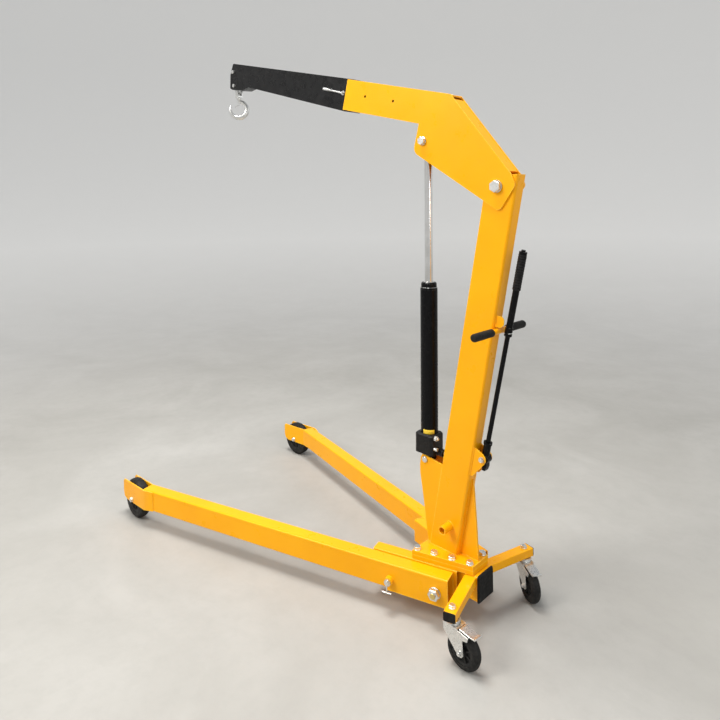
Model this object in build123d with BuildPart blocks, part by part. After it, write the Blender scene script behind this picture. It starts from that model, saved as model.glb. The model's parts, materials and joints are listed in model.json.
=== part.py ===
from build123d import *
import os
from math import atan, cos, degrees, hypot, radians, sin

os.makedirs("parts", exist_ok=True)

# Folding workshop crane, in millimetres.
# +X is forward, towards the hook. +Y is the crane's left. Z = 0 is the floor.

# ---------------------------------------------------------------- dimensions
FRONT_WHEEL_R = 90
FRONT_WHEEL_W = 45
FRONT_AXLE_X = 840
TRACK_HALF = 500

LEG_ANGLE = 15.6            # splay of each leg from straight ahead
LEG_W, LEG_H, LEG_WALL = 60, 90, 4
LEG_Z = 80                  # underside of the leg tube
LEG_PIVOT = (-632, 112, 116)
LEG_TAIL = 46               # tube behind the pivot
LEG_REACH = 1428            # tube ahead of the pivot
SHOE_LENGTH, SHOE_DROP = 232, 8

BEAM_W, BEAM_Z0, BEAM_Z1 = 92, 84, 174
BEAM_REAR, BEAM_FRONT = -750, -604
ARM_W = 48                  # inner arms that the legs fold against
ARM_GAP = 1.0
PLATE_T = 15                # each of the two bolted plates
FLANGE_Z = BEAM_Z1 + 2 * PLATE_T

MAST_LEAN = 0.195           # how far the mast leans back per unit of height
MAST_BACK_X = -731          # back face at the reference height
MAST_REF_Z = 605
MAST_DEPTH_H = 115          # front to back, measured level
MAST_W, MAST_WALL = 56, 5
MAST_TOP = 1548

BOOM_PIVOT = (-840, 1511)
RAM_TOP = (-538, 1690)
RAM_FOOT = (-520, 512)
BOOM_ANGLE = 15.2           # rise of the straight part of the boom
BOOM_PLATE_IN, BOOM_PLATE_T = 29, 6
BOOM_MOUTH = (-144.5, 1919)
JIB_HALF_W = 27

RAM_R, RAM_BORE_R, ROD_R = 32, 26, 15

LEVER_PIVOT = (-760, 576)
LEVER_LEAN = 0.2146
LEVER_BOSS_R, LEVER_BOSS_HALF = 18, 14

CASTER_XY = (-775, 230)
CASTER_WHEEL_R, CASTER_WHEEL_W = 60, 34
CASTER_TRAIL = 45
CASTER_TURN_L, CASTER_TURN_R = 176.7, 145.3
CASTER_ARM_Z0, CASTER_ARM_Z1 = 141, 171

HOOK_X, HOOK_PIN_Z = 655, 2085
HOOK_TURN = 50
HOOK_CENTRE_Z = 1965


# ------------------------------------------------------------------- helpers
def side_plate(points, y_min, y_max):
    """A flat plate drawn in the X-Z plane, from y_min to y_max."""
    with BuildPart() as plate:
        with BuildSketch(Plane.XZ.offset(-y_max)):
            Polygon(*points, align=None)
        extrude(amount=y_max - y_min)
    return plate.part


def slab(points, z_min, z_max):
    """A flat plate drawn in the X-Y plane, from z_min to z_max."""
    with BuildPart() as plate:
        with BuildSketch(Plane.XY.offset(z_min)):
            Polygon(*points, align=None)
        extrude(amount=z_max - z_min)
    return plate.part


def box_tube(section, width, depth, wall, length, radius=6):
    """A rectangular tube pushed out from a section plane."""
    inner_radius = max(radius - wall, 1.0)
    with BuildPart() as body:
        with BuildSketch(section):
            RectangleRounded(width, depth, radius)
            RectangleRounded(width - 2 * wall, depth - 2 * wall, inner_radius, mode=Mode.SUBTRACT)
        extrude(amount=length)
    return body.part


def rod(start, direction, radius, length, bore=0.0):
    """A round bar, or a sleeve when it has a bore."""
    with BuildPart() as bar:
        with BuildSketch(Plane(origin=start, z_dir=direction)):
            Circle(radius)
            if bore:
                Circle(bore, mode=Mode.SUBTRACT)
        extrude(amount=length)
    return bar.part


def hexagon(start, direction, across_flats, height):
    """A hexagonal head or nut with a light chamfer on its outer end."""
    with BuildPart() as head:
        with BuildSketch(Plane(origin=start, z_dir=direction)):
            RegularPolygon(across_flats / 2, 6, major_radius=False)
        extrude(amount=height)
        far = head.faces().sort_by(Axis(start, direction))[-1]
        chamfer(far.edges(), height * 0.12)
    return head.part


def bolt(start, direction, shank_r, grip, flats, head_h, washer_r, tail=6.0, nut=True):
    """A bolt whose head bears at start; the shank runs back along -direction by grip."""
    along = Vector(*direction).normalized()
    base = Vector(*start)
    back = along * -1
    washer_t = 2.5
    with BuildPart() as item:
        add(rod(base, along, washer_r, washer_t))
        add(hexagon(base + along * washer_t, along, flats, head_h))
        add(rod(base + along * (washer_t + head_h / 2), back, shank_r,
                grip + washer_t + head_h / 2 + (washer_t + head_h + tail if nut else 0.0)))
        if nut:
            add(rod(base + back * grip, back, washer_r, washer_t))
            add(hexagon(base + back * (grip + washer_t), back, flats, head_h))
    return item.part


def ring(centre, axis, outer, inner, width, rounding):
    """A tyre: a thick ring about its axis with rounded shoulders."""
    along = Vector(*axis)
    with BuildPart() as tyre:
        add(rod(Vector(*centre) - along * (width / 2), axis, outer, width, bore=inner))
        rims = tyre.edges().filter_by(GeomType.CIRCLE).sort_by(SortBy.RADIUS)[-2:]
        fillet(rims, rounding)
    return tyre.part


def hub(centre, axis, outer, bore, width, boss_width):
    """A wheel centre: a solid disc dished on both faces, with a longer boss at the bore."""
    along = Vector(*axis)
    at = Vector(*centre)
    with BuildPart() as disc:
        add(rod(at - along * (width / 2 - 2), axis, outer, width - 4))
        for side in (1, -1):
            face = at + along * (side * (width / 2 - 2))
            add(rod(face, along * -side, outer - 8, 9, bore=0), mode=Mode.SUBTRACT)
        add(rod(at - along * (boss_width / 2), axis, bore + 10, boss_width))
        add(rod(at - along * 40, axis, bore, 80), mode=Mode.SUBTRACT)
    return disc.part


def mast_back(z):
    return MAST_BACK_X - MAST_LEAN * (z - MAST_REF_Z)


def mast_front(z):
    return mast_back(z) + MAST_DEPTH_H


def along_boom(s, t):
    """A point in X-Z: s along the boom from its mouth, t up from its centre line."""
    a = radians(BOOM_ANGLE)
    return (BOOM_MOUTH[0] + s * cos(a) - t * sin(a), BOOM_MOUTH[1] + s * sin(a) + t * cos(a))


def mirrored(part):
    return mirror(part, about=Plane.XZ)


# ------------------------------------------------------------------- chassis
A = radians(LEG_ANGLE)
FORWARD = Vector(cos(A), sin(A), 0)        # along the left leg
OUTWARD = Vector(-sin(A), cos(A), 0)       # square to the left leg, away from the crane
leg_frame = Plane(origin=(LEG_PIVOT[0], LEG_PIVOT[1], 0), x_dir=FORWARD, z_dir=(0, 0, 1))


def leg_point(s, y, z):
    return leg_frame.from_local_coords(Vector(s, y, z))


ARM_Y = -(LEG_W / 2 + ARM_GAP + ARM_W / 2)
beam_section = Plane(origin=(BEAM_REAR, 0, (BEAM_Z0 + BEAM_Z1) / 2), x_dir=(0, 1, 0), z_dir=(1, 0, 0))
with BuildPart() as chassis_beam:
    add(box_tube(beam_section, BEAM_W, BEAM_Z1 - BEAM_Z0, 5, BEAM_FRONT - BEAM_REAR))
chassis_beam.part.label = "chassis_beam"
export_step(chassis_beam.part, "parts/chassis_beam.step")

arm_section = Plane(origin=leg_point(-58, ARM_Y, (BEAM_Z0 + BEAM_Z1) / 2), x_dir=OUTWARD, z_dir=FORWARD)
with BuildPart() as arm_left:
    add(box_tube(arm_section, ARM_W, BEAM_Z1 - BEAM_Z0, 5, 324, radius=5))
    with Locations(((BEAM_REAR + BEAM_FRONT) / 2, 0, (BEAM_Z0 + BEAM_Z1) / 2)):
        Box(BEAM_FRONT - BEAM_REAR, BEAM_W, 200, mode=Mode.SUBTRACT)
    with Locations((BEAM_FRONT - 60, -60, (BEAM_Z0 + BEAM_Z1) / 2)):
        Box(300, 120, 200, mode=Mode.SUBTRACT)
    add(rod(leg_point(0, -80, LEG_PIVOT[2]), OUTWARD, 11.3, 60), mode=Mode.SUBTRACT)
with BuildPart() as chassis_arms:
    add(arm_left.part)
    add(mirrored(arm_left.part))
    with Locations((-540, 0, 132)):
        Box(14, 110, 76)
chassis_arms.part.label = "chassis_arms"
export_step(chassis_arms.part, "parts/chassis_arms.step")

# Two bolted plates whose sides follow the splay of the legs.
PLATE_FRONT, PLATE_REAR = -517, -735
PLATE_HALF_F, PLATE_HALF_R = 110, 48
plate_outline = [(PLATE_REAR, -PLATE_HALF_R), (PLATE_FRONT, -PLATE_HALF_F),
                 (PLATE_FRONT, PLATE_HALF_F), (PLATE_REAR, PLATE_HALF_R)]
BOLT_ROW = [(-527, 91), (-590, 74), (-654, 57), (-717, 40)]
FLANGE_BOLT_R = 7
flange_holes = [(x, s * y) for x, y in BOLT_ROW for s in (1, -1)]
with BuildPart() as chassis_plate:
    add(slab(plate_outline, BEAM_Z1, BEAM_Z1 + PLATE_T))
    for x, y in flange_holes:
        add(rod((x, y, BEAM_Z1 - 1), (0, 0, 1), FLANGE_BOLT_R, PLATE_T + 2), mode=Mode.SUBTRACT)
chassis_plate.part.label = "chassis_plate"
export_step(chassis_plate.part, "parts/chassis_plate.step")

with BuildPart() as mast_flange:
    add(slab(plate_outline, BEAM_Z1 + PLATE_T, FLANGE_Z))
    for x, y in flange_holes:
        add(rod((x, y, BEAM_Z1), (0, 0, 1), FLANGE_BOLT_R, 2 * PLATE_T + 2), mode=Mode.SUBTRACT)
mast_flange.part.label = "mast_flange"
export_step(mast_flange.part, "parts/mast_flange.step")

with BuildPart() as flange_bolts:
    for x, y in flange_holes:
        add(bolt((x, y, FLANGE_Z), (0, 0, 1), FLANGE_BOLT_R, 2 * PLATE_T, 22, 9, 13.5, tail=0, nut=False))
flange_bolts.part.label = "flange_bolts"
export_step(flange_bolts.part, "parts/flange_bolts.step")

# Moulded cap in the open rear end of the beam.
with BuildPart() as beam_cap:
    with BuildSketch(Plane(origin=(BEAM_REAR, 0, 129), x_dir=(0, 1, 0), z_dir=(-1, 0, 0))):
        RectangleRounded(96, 96, 8)
    extrude(amount=7)
    chamfer(beam_cap.faces().sort_by(Axis.X)[0].edges(), 4)
    with Locations((BEAM_REAR + 8, 0, 129)):
        Box(16, 81.4, 79.4)

# Caster arms run square to the legs from the sides of the beam.
ARM_TIP = Vector(CASTER_XY[0], CASTER_XY[1], 0) + OUTWARD * 27
CASTER_ARM_LENGTH = (ARM_TIP.Y - 30) / cos(A)
caster_mid_z = (CASTER_ARM_Z0 + CASTER_ARM_Z1) / 2
caster_section = Plane(origin=(ARM_TIP.X, ARM_TIP.Y, caster_mid_z), x_dir=FORWARD, z_dir=OUTWARD * -1)
CASTER_BOLT_R = 6
with BuildPart() as caster_arm_left:
    add(box_tube(caster_section, 40, CASTER_ARM_Z1 - CASTER_ARM_Z0, 4, CASTER_ARM_LENGTH, radius=3))
    with Locations((-700, 0, 150)):
        Box(400, BEAM_W, 120, mode=Mode.SUBTRACT)
    add(rod((CASTER_XY[0], CASTER_XY[1], 130), (0, 0, 1), CASTER_BOLT_R, 60), mode=Mode.SUBTRACT)
with BuildPart() as caster_arms:
    add(caster_arm_left.part)
    add(mirrored(caster_arm_left.part))
caster_arms.part.label = "caster_arms"
export_step(caster_arms.part, "parts/caster_arms.step")

cap_plane = Plane(origin=(ARM_TIP.X, ARM_TIP.Y, caster_mid_z), x_dir=FORWARD, z_dir=OUTWARD)
with BuildPart() as arm_cap_left:
    with BuildSketch(cap_plane):
        RectangleRounded(40, 30, 3)
    extrude(amount=3)
    with BuildSketch(cap_plane):
        Rectangle(31.4, 21.4)
    extrude(amount=-12)
with BuildPart() as end_caps:
    add(beam_cap.part)
    add(arm_cap_left.part)
    add(mirrored(arm_cap_left.part))
end_caps.part.label = "end_caps"
export_step(end_caps.part, "parts/end_caps.step")

# ---------------------------------------------------------------------- mast
lean = degrees(atan(MAST_LEAN))
mast_up = Vector(-sin(radians(lean)), 0, cos(radians(lean)))
mast_forward = Vector(cos(radians(lean)), 0, sin(radians(lean)))
MAST_DEPTH = MAST_DEPTH_H * cos(radians(lean))
mast_start_z = FLANGE_Z - 60
mast_mid_x = (mast_back(mast_start_z) + mast_front(mast_start_z)) / 2
mast_section = Plane(origin=(mast_mid_x, 0, mast_start_z), x_dir=mast_forward, z_dir=mast_up)
BOOM_BOLT_R = 11
PUSH_Z = 543
TOW_TUBE = (-626, 301)        # its ends stop just inside the folded legs
TOW_HALF = 76
with BuildPart() as mast_tube:
    with BuildSketch(mast_section) as mast_outline:
        with BuildLine():
            Polyline((-MAST_DEPTH / 2, -MAST_W / 2), (MAST_DEPTH / 2, -MAST_W / 2),
                     (MAST_DEPTH / 2, MAST_W / 2), (-MAST_DEPTH / 2, MAST_W / 2), close=True)
        make_face()
        fillet(mast_outline.vertices().sort_by(Axis.X)[:2], 9)
        RectangleRounded(MAST_DEPTH - 2 * MAST_WALL, MAST_W - 2 * MAST_WALL, 4, mode=Mode.SUBTRACT)
    extrude(amount=1600)
    with Locations((-760, 0, (FLANGE_Z + MAST_TOP) / 2)):
        Box(600, 200, MAST_TOP - FLANGE_Z, mode=Mode.INTERSECT)
    add(rod((BOOM_PIVOT[0], 60, BOOM_PIVOT[1]), (0, -1, 0), BOOM_BOLT_R, 120), mode=Mode.SUBTRACT)
    add(rod((TOW_TUBE[0], 60, TOW_TUBE[1]), (0, -1, 0), 15, 120), mode=Mode.SUBTRACT)
    add(rod((-760, 0, PUSH_Z), (1, 0, 0), 9, 220), mode=Mode.SUBTRACT)
mast_tube.part.label = "mast_tube"
export_step(mast_tube.part, "parts/mast_tube.step")

# Cheek plates ahead of the mast carry the foot of the ram.
cheek = [(mast_front(212), 212), (-529, 212), (-514, 335), (-505, 398), (-496, 455), (-496, 488),
         (-500, 516), (-508, 530), (mast_front(512), 512)]
RAM_PIN_R = 8
with BuildPart() as ram_cheeks:
    for y_min, y_max in ((22, 28), (-28, -22)):
        add(side_plate(cheek, y_min, y_max))
    add(rod((RAM_FOOT[0], 60, RAM_FOOT[1]), (0, -1, 0), RAM_PIN_R, 120), mode=Mode.SUBTRACT)
ram_cheeks.part.label = "ram_cheeks"
export_step(ram_cheeks.part, "parts/ram_cheeks.step")

with BuildPart() as mast_gusset:
    add(side_plate([(-728, FLANGE_Z), (mast_back(FLANGE_Z), FLANGE_Z), (mast_back(484), 484),
                    (mast_back(484) - 5, 484), (-722, 330)], -4, 4))
mast_gusset.part.label = "mast_gusset"
export_step(mast_gusset.part, "parts/mast_gusset.step")

with BuildPart() as tow_tube:
    add(rod((TOW_TUBE[0], TOW_HALF, TOW_TUBE[1]), (0, -1, 0), 15, 2 * TOW_HALF, bore=11.5))
tow_tube.part.label = "tow_tube"
export_step(tow_tube.part, "parts/tow_tube.step")

ear = [(mast_back(508), 508), (mast_back(612), 612), (-751, 602), (-765, 594), (-773, 584),
       (-774, 571), (-768, 560), (-743, 532), (-722, 508)]
LEVER_BOLT_R = 5
with BuildPart() as lever_ears:
    for y_min, y_max in ((18, 23), (-23, -18)):
        add(side_plate(ear, y_min, y_max))
    add(rod((LEVER_PIVOT[0], 60, LEVER_PIVOT[1]), (0, -1, 0), LEVER_BOLT_R, 120), mode=Mode.SUBTRACT)
lever_ears.part.label = "lever_ears"
export_step(lever_ears.part, "parts/lever_ears.step")

with BuildPart() as lever_bolt:
    add(bolt((LEVER_PIVOT[0], 23, LEVER_PIVOT[1]), (0, 1, 0), LEVER_BOLT_R, 46, 16, 6, 9.5, tail=3))
lever_bolt.part.label = "lever_bolt"
export_step(lever_bolt.part, "parts/lever_bolt.step")

# Push bar across the back of the mast, with a small lug above it that steadies the lever.
HANDLE_Z = 1026
HANDLE_X = mast_back(HANDLE_Z) - 10.4
BAR_R, BAR_HALF = 10, 153
GRIP_FROM, GRIP_TO = 50, 160
lever_lug = [(mast_back(1040), 1040), (mast_back(1080), 1080), (-843, 1077), (-850, 1067),
             (-848, 1048), (-838, 1040)]
with BuildPart() as handlebar:
    add(rod((HANDLE_X, BAR_HALF, HANDLE_Z), (0, -1, 0), BAR_R, 2 * BAR_HALF))
    add(side_plate(lever_lug, 13.5, 18))
handlebar.part.label = "handlebar"
export_step(handlebar.part, "parts/handlebar.step")

with BuildPart() as grip_left:
    add(rod((HANDLE_X, GRIP_FROM, HANDLE_Z), (0, 1, 0), 13.5, GRIP_TO - GRIP_FROM))
    fillet(grip_left.faces().sort_by(Axis.Y)[-1].edges(), 6)
    add(rod((HANDLE_X, 0, HANDLE_Z), (0, 1, 0), BAR_R, BAR_HALF), mode=Mode.SUBTRACT)
with BuildPart() as handlebar_grips:
    add(grip_left.part)
    add(mirrored(grip_left.part))
handlebar_grips.part.label = "handlebar_grips"
export_step(handlebar_grips.part, "parts/handlebar_grips.step")

with BuildPart() as boom_bolt:
    add(bolt((BOOM_PIVOT[0], 35.4, BOOM_PIVOT[1]), (0, 1, 0), BOOM_BOLT_R, 70.8, 36, 14, 21, tail=4))
boom_bolt.part.label = "boom_bolt"
export_step(boom_bolt.part, "parts/boom_bolt.step")

with BuildPart() as ram_pin:
    add(rod((RAM_FOOT[0], 28.2, RAM_FOOT[1]), (0, -1, 0), RAM_PIN_R, 56.4))
    for side in (1, -1):
        with BuildPart() as pin_head:
            add(rod((RAM_FOOT[0], side * 28.2, RAM_FOOT[1]), (0, side, 0), 11.5, 6))
            fillet(pin_head.faces().sort_by(Axis.Y)[-1 if side > 0 else 0].edges(), 3)
        add(pin_head.part)
ram_pin.part.label = "ram_pin"
export_step(ram_pin.part, "parts/ram_pin.step")

# ---------------------------------------------------------------------- legs
tube_section = Plane(origin=leg_point(-LEG_TAIL, 0, LEG_Z + LEG_H / 2), x_dir=OUTWARD, z_dir=FORWARD)
LEG_BOLT_R = 11
PIN_S, PIN_Z = 172, 112
with BuildPart(leg_frame) as shoe:
    with Locations((SHOE_LENGTH / 2 - LEG_TAIL, 0, LEG_Z - SHOE_DROP + 10)):
        Box(SHOE_LENGTH, LEG_W, 20)
with BuildPart() as leg_left:
    with BuildSketch(tube_section):
        RectangleRounded(LEG_W, LEG_H, 6)
    extrude(amount=LEG_TAIL + LEG_REACH)
    add(shoe.part)
    with BuildSketch(tube_section):
        RectangleRounded(LEG_W - 2 * LEG_WALL, LEG_H - 2 * LEG_WALL, 2)
    extrude(amount=LEG_TAIL + LEG_REACH, mode=Mode.SUBTRACT)
    # pivot holes, and the boss of the locking pin
    add(rod(leg_point(0, -40, LEG_PIVOT[2]), OUTWARD, LEG_BOLT_R + 0.05, 80), mode=Mode.SUBTRACT)
    add(rod(leg_point(PIN_S, LEG_W / 2 - 2, PIN_Z), OUTWARD, 15, 18))
    add(rod(leg_point(PIN_S, -40, PIN_Z), OUTWARD, 8.05, 100), mode=Mode.SUBTRACT)
leg_left.part.label = "leg_left"
export_step(leg_left.part, "parts/leg_left.step")

with BuildPart() as leg_right:
    add(mirrored(leg_left.part))
leg_right.part.label = "leg_right"
export_step(leg_right.part, "parts/leg_right.step")

# Fork plates bend off the leg to run straight ahead on each side of the wheel.
FORK_IN, FORK_T = 26, 5
fork_side = [(670, 81), (716, 80), (893, 75), (918, 84), (926, 108), (925, 156), (917, 165),
             (730, 170), (670, 169)]
fork_outer = [(676, 505), (722, TRACK_HALF + FORK_IN), (940, TRACK_HALF + FORK_IN),
              (940, TRACK_HALF + FORK_IN + FORK_T), (720, TRACK_HALF + FORK_IN + FORK_T), (674, 511)]
fork_inner = [(690, 451.5), (752, 469), (940, 469), (940, 474), (750, 474), (688, 457)]
FRONT_BOLT_R = 7
with BuildPart() as fork_left:
    for outline in (fork_outer, fork_inner):
        add(slab(outline, 60, 180))
    add(side_plate(fork_side, 440, 540), mode=Mode.INTERSECT)
    with BuildSketch(tube_section):
        Rectangle(LEG_W, LEG_H)
    extrude(amount=LEG_TAIL + LEG_REACH, mode=Mode.SUBTRACT)
    add(rod((FRONT_AXLE_X, 560, FRONT_WHEEL_R), (0, -1, 0), FRONT_BOLT_R, 120), mode=Mode.SUBTRACT)
fork_left.part.label = "fork_left"
export_step(fork_left.part, "parts/fork_left.step")

with BuildPart() as fork_right:
    add(mirrored(fork_left.part))
fork_right.part.label = "fork_right"
export_step(fork_right.part, "parts/fork_right.step")

with BuildPart() as front_axle_left:
    add(bolt((FRONT_AXLE_X, 531, FRONT_WHEEL_R), (0, 1, 0), FRONT_BOLT_R, 62, 19, 7, 12, tail=3))
front_axle_left.part.label = "front_axle_left"
export_step(front_axle_left.part, "parts/front_axle_left.step")

with BuildPart() as front_axle_right:
    add(mirrored(front_axle_left.part))
front_axle_right.part.label = "front_axle_right"
export_step(front_axle_right.part, "parts/front_axle_right.step")

HUB_R = 58
wheel_at = (FRONT_AXLE_X, TRACK_HALF, FRONT_WHEEL_R)
with BuildPart() as front_tyre_left:
    add(ring(wheel_at, (0, 1, 0), FRONT_WHEEL_R, HUB_R, FRONT_WHEEL_W, 8))
front_tyre_left.part.label = "front_tyre_left"
export_step(front_tyre_left.part, "parts/front_tyre_left.step")

with BuildPart() as front_tyre_right:
    add(mirrored(front_tyre_left.part))
front_tyre_right.part.label = "front_tyre_right"
export_step(front_tyre_right.part, "parts/front_tyre_right.step")

with BuildPart() as front_hub_left:
    add(hub(wheel_at, (0, 1, 0), HUB_R, FRONT_BOLT_R + 0.05, FRONT_WHEEL_W, 51))
front_hub_left.part.label = "front_hub_left"
export_step(front_hub_left.part, "parts/front_hub_left.step")

with BuildPart() as front_hub_right:
    add(mirrored(front_hub_left.part))
front_hub_right.part.label = "front_hub_right"
export_step(front_hub_right.part, "parts/front_hub_right.step")

# Pivot bolts of the legs: the head sits inside the chassis arm, the nut outside the leg.
with BuildPart() as leg_bolt_left:
    add(rod(leg_point(0, -49, LEG_PIVOT[2]), OUTWARD, LEG_BOLT_R, 102))
    add(hexagon(leg_point(0, -36, LEG_PIVOT[2]), OUTWARD * -1, 32, 12))
    add(rod(leg_point(0, LEG_W / 2 + 0.4, LEG_PIVOT[2]), OUTWARD, 21, 3))
    add(hexagon(leg_point(0, LEG_W / 2 + 3.4, LEG_PIVOT[2]), OUTWARD, 36, 17))
with BuildPart() as leg_bolts:
    add(leg_bolt_left.part)
    add(mirrored(leg_bolt_left.part))
leg_bolts.part.label = "leg_bolts"
export_step(leg_bolts.part, "parts/leg_bolts.step")

# Locking pin of a leg, with a washer head and a bent wire handle.
LOCK_OUT = LEG_W / 2 + 16
with BuildPart() as lock_pin_left:
    add(rod(leg_point(PIN_S, -29.6, PIN_Z), OUTWARD, 8, LOCK_OUT + 29.6 + 12))
    add(rod(leg_point(PIN_S, LOCK_OUT + 0.4, PIN_Z), OUTWARD, 12, 6))
    add(rod(leg_point(PIN_S, LOCK_OUT + 9.2, PIN_Z + 3), (0, 0, -1), 2.5, 38))
    add(rod(leg_point(PIN_S - 18, LOCK_OUT + 9.2, PIN_Z - 33), FORWARD, 2.8, 36))
lock_pin_left.part.label = "lock_pin_left"
export_step(lock_pin_left.part, "parts/lock_pin_left.step")

with BuildPart() as lock_pin_right:
    add(mirrored(lock_pin_left.part))
lock_pin_right.part.label = "lock_pin_right"
export_step(lock_pin_right.part, "parts/lock_pin_right.step")

# ------------------------------------------------------------------- casters
# Each caster is drawn at the origin with its trail along +X, then turned and moved.
FORK_TOP = 131
CASTER_AXLE_R = 5


def at_caster(part, left):
    side = 1 if left else -1
    turn = CASTER_TURN_L if left else CASTER_TURN_R
    return part.moved(Location((CASTER_XY[0], side * CASTER_XY[1], 0), (0, 0, turn)))


leaf = [(-20, FORK_TOP - 4), (-19, 107), (CASTER_TRAIL - 11, 52), (CASTER_TRAIL - 4, 47),
        (CASTER_TRAIL + 6, 48), (CASTER_TRAIL + 12, 56), (CASTER_TRAIL + 10, 104),
        (CASTER_TRAIL + 28, 108), (CASTER_TRAIL + 31, 120), (CASTER_TRAIL - 8, FORK_TOP - 4)]
with BuildPart() as caster_fork:
    for y_min, y_max in ((20, 23), (-23, -20)):
        add(side_plate(leaf, y_min, y_max))
    with Locations((8, 0, FORK_TOP - 2)):
        Box(58, 46, 4)
    add(rod((0, 0, FORK_TOP), (0, 0, 1), 24, 4))
    add(rod((0, 0, FORK_TOP + 4), (0, 0, 1), 19, 5.6))
    add(rod((0, 0, FORK_TOP - 10), (0, 0, 1), CASTER_BOLT_R + 0.05, 30), mode=Mode.SUBTRACT)
    add(rod((CASTER_TRAIL, 40, CASTER_WHEEL_R), (0, -1, 0), CASTER_AXLE_R, 80), mode=Mode.SUBTRACT)
with BuildPart() as caster_fork_left:
    add(at_caster(caster_fork.part, True))
caster_fork_left.part.label = "caster_fork_left"
export_step(caster_fork_left.part, "parts/caster_fork_left.step")
with BuildPart() as caster_fork_right:
    add(at_caster(caster_fork.part, False))
caster_fork_right.part.label = "caster_fork_right"
export_step(caster_fork_right.part, "parts/caster_fork_right.step")

with BuildPart() as caster_axle:
    add(bolt((CASTER_TRAIL, 23, CASTER_WHEEL_R), (0, 1, 0), CASTER_AXLE_R, 46, 13, 5, 8, tail=2))
with BuildPart() as caster_axle_left:
    add(at_caster(caster_axle.part, True))
caster_axle_left.part.label = "caster_axle_left"
export_step(caster_axle_left.part, "parts/caster_axle_left.step")
with BuildPart() as caster_axle_right:
    add(at_caster(caster_axle.part, False))
caster_axle_right.part.label = "caster_axle_right"
export_step(caster_axle_right.part, "parts/caster_axle_right.step")

CASTER_HUB_R = 41
caster_wheel_at = (CASTER_TRAIL, 0, CASTER_WHEEL_R)
with BuildPart() as caster_tyre:
    add(ring(caster_wheel_at, (0, 1, 0), CASTER_WHEEL_R, CASTER_HUB_R, CASTER_WHEEL_W, 9))
with BuildPart() as caster_tyre_left:
    add(at_caster(caster_tyre.part, True))
caster_tyre_left.part.label = "caster_tyre_left"
export_step(caster_tyre_left.part, "parts/caster_tyre_left.step")
with BuildPart() as caster_tyre_right:
    add(at_caster(caster_tyre.part, False))
caster_tyre_right.part.label = "caster_tyre_right"
export_step(caster_tyre_right.part, "parts/caster_tyre_right.step")

with BuildPart() as caster_hub:
    add(hub(caster_wheel_at, (0, 1, 0), CASTER_HUB_R, CASTER_AXLE_R + 0.05, CASTER_WHEEL_W - 2, 39))
with BuildPart() as caster_hub_left:
    add(at_caster(caster_hub.part, True))
caster_hub_left.part.label = "caster_hub_left"
export_step(caster_hub_left.part, "parts/caster_hub_left.step")
with BuildPart() as caster_hub_right:
    add(at_caster(caster_hub.part, False))
caster_hub_right.part.label = "caster_hub_right"
export_step(caster_hub_right.part, "parts/caster_hub_right.step")

# Brake pedal: hinged behind the fork crown, with a turned-up toe tab.
PEDAL_HINGE = (42, 130)
pedal_side = [(39, 127.6), (60, 124.5), (84, 121), (98, 121), (103, 128), (100, 129.5), (95, 124.5),
              (84, 124.5), (60, 128), (46, 131.5), (39, 131.5)]
with BuildPart() as brake_pedal:
    add(side_plate(pedal_side, -17, 17))
with BuildPart() as brake_pedal_left:
    add(at_caster(brake_pedal.part, True))
brake_pedal_left.part.label = "brake_pedal_left"
export_step(brake_pedal_left.part, "parts/brake_pedal_left.step")
with BuildPart() as brake_pedal_right:
    add(at_caster(brake_pedal.part, False))
brake_pedal_right.part.label = "brake_pedal_right"
export_step(brake_pedal_right.part, "parts/brake_pedal_right.step")

# King bolts hold the casters to the arms.
with BuildPart() as caster_bolts:
    for side in (1, -1):
        spot = (CASTER_XY[0], side * CASTER_XY[1], CASTER_ARM_Z1)
        add(bolt(spot, (0, 0, 1), CASTER_BOLT_R, CASTER_ARM_Z1 - 124, 19, 8, 12, tail=0, nut=False))
caster_bolts.part.label = "caster_bolts"
export_step(caster_bolts.part, "parts/caster_bolts.step")

# ---------------------------------------------------------------------- boom
BOOM_TIP, BOOM_HEEL, RAM_CORNER = (-848, 1428), (-908, 1513), (-494, 1653)
boom_side = [along_boom(0, 62), (-663, 1842), (-892, 1551), BOOM_HEEL, BOOM_TIP, RAM_CORNER,
             (-522, 1755), along_boom(0, -62)]
RAM_TOP_R = 9
with BuildPart() as boom_cheek:
    add(side_plate(boom_side, BOOM_PLATE_IN, BOOM_PLATE_IN + BOOM_PLATE_T))
    for corner, size in ((BOOM_TIP, 16), (BOOM_HEEL, 14), (RAM_CORNER, 30)):
        upright = boom_cheek.edges().filter_by(Axis.Y).sort_by(
            lambda e: hypot(e.center().X - corner[0], e.center().Z - corner[1]))[0]
        fillet(upright, size)
with BuildPart() as boom_plates:
    add(boom_cheek.part)
    add(mirrored(boom_cheek.part))
    add(rod((BOOM_PIVOT[0], 60, BOOM_PIVOT[1]), (0, -1, 0), BOOM_BOLT_R + 0.05, 120), mode=Mode.SUBTRACT)
    add(rod((RAM_TOP[0], 60, RAM_TOP[1]), (0, -1, 0), RAM_TOP_R, 120), mode=Mode.SUBTRACT)
    for s in (-113, -263):
        x, z = along_boom(s, 5)
        add(rod((x, 60, z), (0, -1, 0), 6, 120), mode=Mode.SUBTRACT)
boom_plates.part.label = "boom_plates"
export_step(boom_plates.part, "parts/boom_plates.step")

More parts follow.
